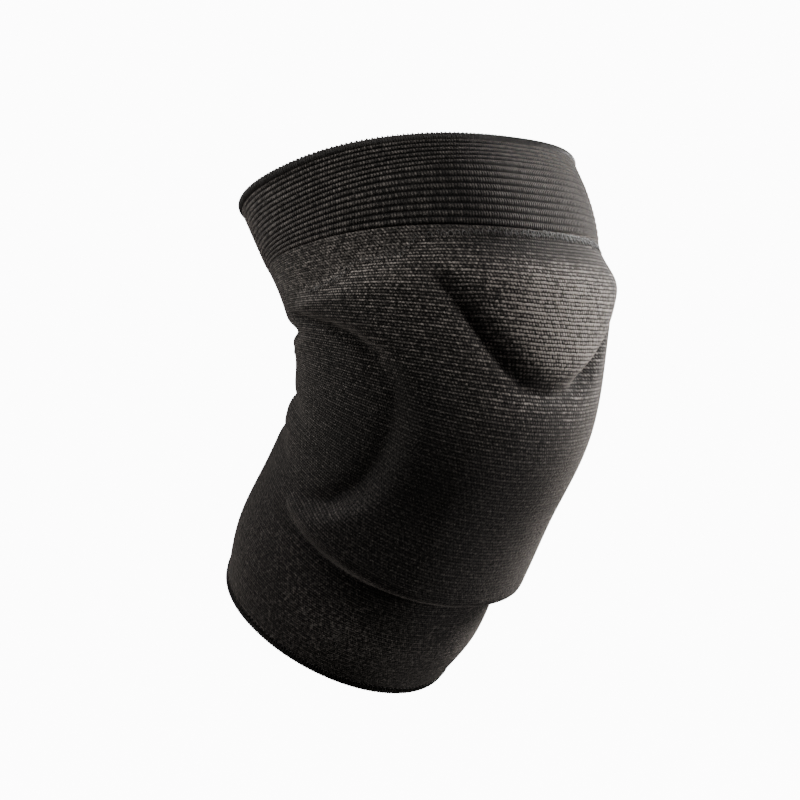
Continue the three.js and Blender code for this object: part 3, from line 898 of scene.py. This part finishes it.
knit = Finish(
    "black knit", Roughness=0.88, Sheen_Weight=0.4, Sheen_Roughness=0.35, Specular_IOR_Level=0.25,
    Sheen_Tint=shade(0.8),
)
wale, course = knit.stitches()
drift = knit.noise(knit.place(), 60.0)
row = (course + (drift - 0.5) * 0.3) * 2
dotted = (row.whole() / 2).part() * 2  # 0 on the bright row of a course and 1 on the dotted one
across = wale + row.whole() * 0.5 + (row.part() - 0.5) * 0.25
strand = row.wave() ** 1.7
bead = across.wave() ** 1.5
loop = strand * (0.5 + 0.5 * bead) * (1 - dotted) + strand * (0.1 + 0.62 * bead) * dotted
loop_chance = knit.chance(knit.pair(across.whole(), row.whole()))
side = ((wale / WALES - 0.5) * 360).size()
share = course / COURSES
# the lower pad and shin are rubbed, the inside of the side notch much less
rubbed = (1 - share.ramp(0.44, 0.66)) * (1 - side.ramp(60, 84) * share.ramp(0.2, 0.4) * 0.7)
fuzz = knit.noise(knit.place(), 1000.0, 2.0, 0.7).ramp(0.32, 0.68)
specks = knit.noise(knit.place(), 760.0, 3.0, 0.75).ramp(0.46, 0.74)
# plain knit above the pocket shows fine slanting lines
diagonal = (wale * 0.8 + course * 1.3).wave() * (0.35 + 0.65 * across.wave())
plain = knit.attribute("plain")
rows = loop * (1 - plain) + (loop * 0.35 + diagonal * 0.4) * plain
pattern = rows * (0.3 + 1.3 * loop_chance) * (0.12 + 1.65 * fuzz)
worn = specks * (0.6 + 0.6 * loop) + loop * 0.2
blend = pattern * (1 - rubbed * 0.85) + worn * (rubbed * 0.85)
# painted shade: the knit's colour darkens with the depth of the crease under it, down to 0.15
unshaded_share = (1 - knit.attribute("crease_shade") * 1.1).maths("MAXIMUM", 0.15)
mottle = knit.noise(knit.place(), 70.0, 3.0)
# the knit's colour here carries painted light and shade from the marks on the cloth
yarn_and_painted_light_share = blend * knit.attribute("stretch_and_painted_light") * unshaded_share * (0.75 + 0.5 * mottle) * YARN_LEVEL
knit.feed(
    Base_Color=knit.mix(yarn_and_painted_light_share.maths("MINIMUM", 1.0), GAP, YARN),
    Roughness=0.95 - 0.15 * loop,
    Normal=knit.bump(loop * (1 - rubbed * 0.7) + fuzz * (0.25 + rubbed * 0.5), 0.0004, 0.7),
)
knit.dress(knit_sleeve)
print(knit.material.name, "has", len(knit.tree.nodes), "nodes")

# %% The cuff's rib knit
RIB_WALES = 352 / WALES  # beads of each rib for every wale of the sleeve
rib_knit = Finish(
    "rib knit", Roughness=0.85, Sheen_Weight=0.5, Sheen_Roughness=0.35, Specular_IOR_Level=0.25,
    Sheen_Tint=shade(0.8),
)
wale, course = rib_knit.stitches()
rib = (course / COURSES - cuff_low) * (RIBS / (cuff_high - cuff_low))
across = wale * RIB_WALES + rib.whole() * 0.5
bead = rib.wave() ** 1.6 * (0.1 + 0.9 * across.wave() ** 1.3)
bead_chance = rib_knit.chance(rib_knit.pair(across.whole(), rib.whole()))
fuzz = rib_knit.noise(rib_knit.place(), 1100.0, 2.0, 0.7).ramp(0.32, 0.68)
side = ((wale / WALES - 0.5) * 360).size()
drawn_open = 0.16 + 0.42 * side.ramp(20, 100)  # the elastic gives more at the sides of the thigh
rib_knit.feed(
    Base_Color=rib_knit.mix(
        bead * (0.3 + 1.1 * bead_chance) * (0.2 + 1.5 * fuzz) * drawn_open, GAP, YARN
    ),
    Roughness=0.95 - 0.2 * bead,
    Normal=rib_knit.bump(bead + 0.2 * fuzz, 0.0005, 0.9),
)
rib_knit.dress(rib_cuff)
print(rib_knit.material.name, "has", len(rib_knit.tree.nodes), "nodes")

# %% Thread and foam
thread = Finish(
    "overlock thread", Roughness=0.6, Sheen_Weight=0.15, Specular_IOR_Level=0.35,
    Sheen_Tint=shade(0.8),
)
twist = thread.noise(thread.place(), 900.0, 3.0, 0.7)
thread.feed(
    Base_Color=thread.mix(twist.ramp(0.25, 0.75), shade(0.012), shade(0.04)),
    Normal=thread.bump(twist, 0.00015, 0.6),
)
thread.dress(thigh_hem, shin_hem, thigh_hem_thread, shin_hem_thread)

loop_thread = Finish("lustrous thread", Roughness=0.42, Specular_IOR_Level=0.5)
strand = loop_thread.noise(loop_thread.place(), 1100.0, 2.0, 0.6)
loop_thread.feed(
    Base_Color=loop_thread.mix(strand.ramp(0.3, 0.7), shade(0.02), shade(0.085)),
    Normal=loop_thread.bump(strand, 0.0001, 0.5),
)
loop_thread.dress(shin_hem_loops, pocket_seam)

cells = Finish("closed-cell foam", Roughness=0.9, Specular_IOR_Level=0.2)
pores = cells.node(
    "ShaderNodeTexVoronoi", {"feature": "F1"}, {"Vector": cells.place(), "Scale": 1400.0}
)
cells.feed(
    Base_Color=cells.mix(pores.ramp(0.0, 0.7), (0.05, 0.05, 0.052, 1), (0.022, 0.022, 0.023, 1)),
    Normal=cells.bump(pores, 0.0002, 0.6),
)
cells.dress(foam_insert)
print("materials:", sorted(m.name for m in bpy.data.materials if m.users))

# %% [markdown]
# ## Each piece on its body, in place of its CAD node
#
# Every piece is parented to the root body, and the CAD node that it stands for, where it has one,
# is hidden.

# %% Each piece on the root body, and its CAD node hidden
for piece, node, slot in [
    (knit_sleeve, "sleeve", "knit"), (rib_cuff, "upper_cuff", "rib_knit"),
    (thigh_hem, "top_hem", "overlock_thread"), (shin_hem, "bottom_hem", "overlock_thread"),
    (foam_insert, "foam_pad", "foam"), (thigh_hem_thread, None, "overlock_thread"),
    (shin_hem_thread, None, "overlock_thread"), (shin_hem_loops, None, "overlock_thread"),
    (pocket_seam, None, "overlock_thread"),
]:
    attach(piece, "root")
    if node:
        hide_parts(node)

# %% [markdown]
# ## Camera, floor and light
#
# The photograph looks at the knee from its right front, 45 degrees round and from 3 degrees below,
# with a long lens. The sleeve is worn and so held up, which puts the pale floor well below it.

# %% The camera
AZIMUTH, ELEVATION = math.radians(-45), math.radians(-3)
CAMERA_DISTANCE = 1.15
SENSOR = 36.0
PICTURE_SIDE = 800  # pixels
ORIGIN_AT = (436, 370)  # the pixel that the origin falls on
PIXEL = 0.00042  # metres of the object that one pixel shows
LENS = CAMERA_DISTANCE / PIXEL / PICTURE_SIDE * SENSOR
backwards = np.array([
    math.sin(AZIMUTH) * math.cos(ELEVATION), -math.cos(AZIMUTH) * math.cos(ELEVATION),
    math.sin(ELEVATION),
])
screen_right = np.array([math.cos(AZIMUTH), math.sin(AZIMUTH), 0.0])


def look_at_origin(thing, location):
    thing.location = location
    thing.rotation_euler = (-Vector(location)).to_track_quat("-Z", "Y").to_euler()


camera = bpy.data.objects.new("camera", bpy.data.cameras.new("camera"))
bpy.context.scene.collection.objects.link(camera)
camera.data.lens = LENS
camera.data.sensor_width = SENSOR
camera.data.shift_x = -(ORIGIN_AT[0] - PICTURE_SIDE / 2) / PICTURE_SIDE
camera.data.shift_y = -(PICTURE_SIDE / 2 - ORIGIN_AT[1]) / PICTURE_SIDE
look_at_origin(camera, backwards * CAMERA_DISTANCE)
bpy.context.scene.camera = camera
print("camera lens", round(LENS, 1), "mm")

# %% [markdown]
# ## White surroundings that don't light the knit
#
# The photograph's white is burnt out, while its knit is nearly black. If white surroundings lit the
# knit, its creases would turn grey. So the camera sees the floor and the studio as pure white, but
# other rays get next to nothing from them. Soft lamps light the knit instead. The near lamp at the
# right picks out the front edge of the cup, the high ones the cuff and the top of each bulge, and
# those at the left the side of the thigh.

# %% The floor and the lights
FLOOR_DEPTH = -0.32
BURNT_OUT = 12.0  # as bright as the tone curve needs for pure white
FILL = 0.015  # what the white surroundings add to the knee itself
toward_camera = np.array([math.sin(AZIMUTH), -math.cos(AZIMUTH), 0.0])

deselect_all()
bpy.ops.mesh.primitive_plane_add(size=12, location=(0, 0, FLOOR_DEPTH))
floor = bpy.context.object
floor.name = "floor"
paper = Finish("pale floor", Roughness=0.9, Emission_Strength=BURNT_OUT)
paper.feed(Base_Color=(0.86, 0.86, 0.86, 1), Emission_Color=(1, 1, 1, 1))
paper.dress(floor)
floor.visible_diffuse = floor.visible_glossy = False


def area_light(name, right, front, up, size, power):
    """A soft light, placed by how far it is to the right of, in front of and above the knee."""
    light = bpy.data.objects.new(name, bpy.data.lights.new(name, "AREA"))
    bpy.context.scene.collection.objects.link(light)
    light.data.shape = "DISK"
    light.data.size = size
    light.data.energy = power
    light.visible_camera = False
    look_at_origin(light, Vector(screen_right * right + toward_camera * front) + Vector((0, 0, up)))


area_light("near light at the right", 0.24, -0.08, 0.1, 0.14, 1.45)
area_light("low light at the right", 0.3, 0.1, -0.15, 0.16, 0.25)
area_light("low light behind, right", 0.35, -0.2, -0.25, 0.16, 0.4)
area_light("high light at the right", 0.85, 0.85, 1.2, 0.6, 13.5)
area_light("high light at the left", -0.45, 0.8, 1.4, 0.6, 6.0)
area_light("wide light at the left", -0.9, 0.3, 0.2, 0.6, 3.0)
area_light("near light at the left", -0.35, -0.15, 0.24, 0.16, 0.5)

# %% The studio's white surroundings
studio = bpy.data.worlds.new("studio")
bpy.context.scene.world = studio
studio.use_nodes = True
nodes, links = studio.node_tree.nodes, studio.node_tree.links
seen, lighting = nodes["Background"], nodes.new("ShaderNodeBackground")
seen.inputs["Strength"].default_value = BURNT_OUT
lighting.inputs["Strength"].default_value = FILL
for background in (seen, lighting):
    background.inputs["Color"].default_value = (1, 1, 1, 1)
rays, either = nodes.new("ShaderNodeLightPath"), nodes.new("ShaderNodeMixShader")
links.new(rays.outputs["Is Camera Ray"], either.inputs[0])
links.new(lighting.outputs[0], either.inputs[1])
links.new(seen.outputs[0], either.inputs[2])
links.new(either.outputs[0], nodes["World Output"].inputs["Surface"])
print("studio: seen as", BURNT_OUT, "and lighting as", FILL)
